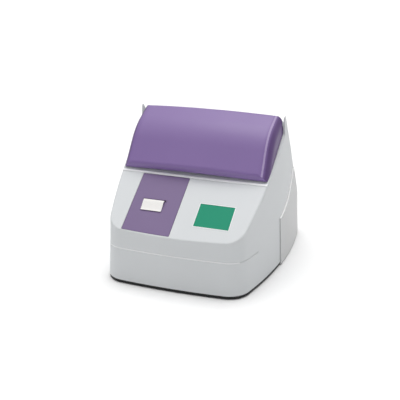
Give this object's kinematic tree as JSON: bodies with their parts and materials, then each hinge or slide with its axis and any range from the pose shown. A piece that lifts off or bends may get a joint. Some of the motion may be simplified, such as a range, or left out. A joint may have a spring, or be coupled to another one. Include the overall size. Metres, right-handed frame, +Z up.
{
  "type": "erythrocyte sedimentation rate analyzer",
  "caption": "Bench analyzer with a sloping deck: hinged lid over a tube rotor and travelling reader, touch display, paper printer under a drop-down door, fan and mains inlet behind.",
  "frame": {"origin": "on the bench under the middle of the footprint", "axes": "+X to the right seen from the front, -Y to the front, +Z up"},
  "size_m": [0.4558, 0.553, 0.4103],
  "materials": {
    "housing": "fine satin texture",
    "rear_cover": "fine satin texture",
    "lid_purple": "soft gloss",
    "door_purple": "satin",
    "black_plastic": "matte",
    "dark_plastic": "satin",
    "inner_plastic": "satin",
    "rubber": "matte",
    "screen": "lit green liquid crystal behind clear film",
    "screen_frame": "satin",
    "paper": "smooth white paper",
    "steel": "ground",
    "plate_metal": "clear anodised",
    "motor_metal": "satin black",
    "zinc_sheet": "zinc plated sheet",
    "board_green": "solder mask",
    "brass": "machined",
    "rack_plastic": "satin"
  },
  "bodies": {
    "case": {"front_housing": "housing", "rear_housing": "rear_cover", "hinge_brackets": "zinc_sheet", "deck_frame": "inner_plastic", "lid_seal": "rubber", "lid_buffers": "rubber", "sample_well": "dark_plastic", "side_plate_left": "plate_metal", "side_plate_right": "plate_metal", "rotor_bearings": "steel", "drive_belt": "rubber", "rotor_motor": "motor_metal", "reader_rails": "steel", "reader_motor": "motor_metal", "touch_glass": "screen", "display_module": "screen_frame", "printer_bay": "dark_plastic", "paper_spindle": "dark_plastic", "printer_frame": "zinc_sheet", "thermal_head": "dark_plastic", "base_tray": "black_plastic", "feet": "rubber", "fan_frame": "black_plastic", "mains_inlet": "black_plastic", "switch_housing": "black_plastic", "data_port": "zinc_sheet", "power_supply": "zinc_sheet", "control_board": "board_green", "board_standoffs": "brass"},
    "lid": {"hood_shell": "lid_purple", "hinge_pins": "steel"},
    "printer_door": {"printer_door": "door_purple", "paper_slip": "paper"},
    "paper_roll": {"paper_roll": "paper"},
    "platen": {"platen_roller": "rubber"},
    "rotor": {"rotor_shaft": "steel", "rotor_end_left": "plate_metal", "rotor_end_right": "plate_metal", "tube_rack_front": "rack_plastic", "tube_rack_rear": "rack_plastic", "rotor_pulley": "plate_metal"},
    "motor_pulley": {"motor_pulley": "plate_metal"},
    "reader": {"reader_carriage": "dark_plastic", "optical_sensor": "dark_plastic"},
    "lead_screw": {"lead_screw": "steel"},
    "fan": {"fan_impeller": "black_plastic"},
    "rocker": {"rocker": "black_plastic"}
  },
  "joints": [
    {"name": "lid_hinge", "type": "hinge", "parent": "case", "child": "lid", "pos_m": [0, 0.029, 0.39351], "axis": [-1, 0, 0], "range_deg": [0, 65]},
    {"name": "printer_door_hinge", "type": "hinge", "parent": "case", "child": "printer_door", "pos_m": [-0.0734, -0.25307, 0.15232], "axis": [1, 0, 0], "range_deg": [0, 95]},
    {"name": "paper_roll_spin", "type": "hinge", "parent": "case", "child": "paper_roll", "pos_m": [-0.08, -0.11917, 0.20596], "axis": [1, 0, 0], "continuous": true},
    {"name": "platen_spin", "type": "hinge", "parent": "case", "child": "platen", "pos_m": [-0.08, -0.17455, 0.18791], "axis": [1, 0, 0], "continuous": true},
    {"name": "rotor_spin", "type": "hinge", "parent": "case", "child": "rotor", "pos_m": [0, -0.012, 0.29393], "axis": [1, 0, 0], "continuous": true},
    {"name": "motor_pulley_spin", "type": "hinge", "parent": "case", "child": "motor_pulley", "pos_m": [0.179, 0.06, 0.21503], "axis": [1, 0, 0], "continuous": true},
    {"name": "reader_slide", "type": "slide", "parent": "case", "child": "reader", "axis": [1, 0, 0], "range_m": [0, 0.256]},
    {"name": "lead_screw_spin", "type": "hinge", "parent": "case", "child": "lead_screw", "pos_m": [0, 0.087, 0.28703], "axis": [1, 0, 0], "range_deg": [0, 11520]},
    {"name": "fan_spin", "type": "hinge", "parent": "case", "child": "fan", "pos_m": [-0.115, 0.25944, 0.06799], "axis": [0, 1, 0], "continuous": true},
    {"name": "power_rocker", "type": "hinge", "parent": "case", "child": "rocker", "pos_m": [0.135, 0.26799, 0.078], "axis": [0, 0, 1], "range_deg": [-9, 9]}
  ],
  "couplings": [
    {"joint": "platen_spin", "follows": "paper_roll_spin", "ratio": 4},
    {"joint": "motor_pulley_spin", "follows": "rotor_spin", "ratio": 1.5},
    {"joint": "lead_screw_spin", "follows": "reader_slide", "rad_per_m": 785.4}
  ]
}
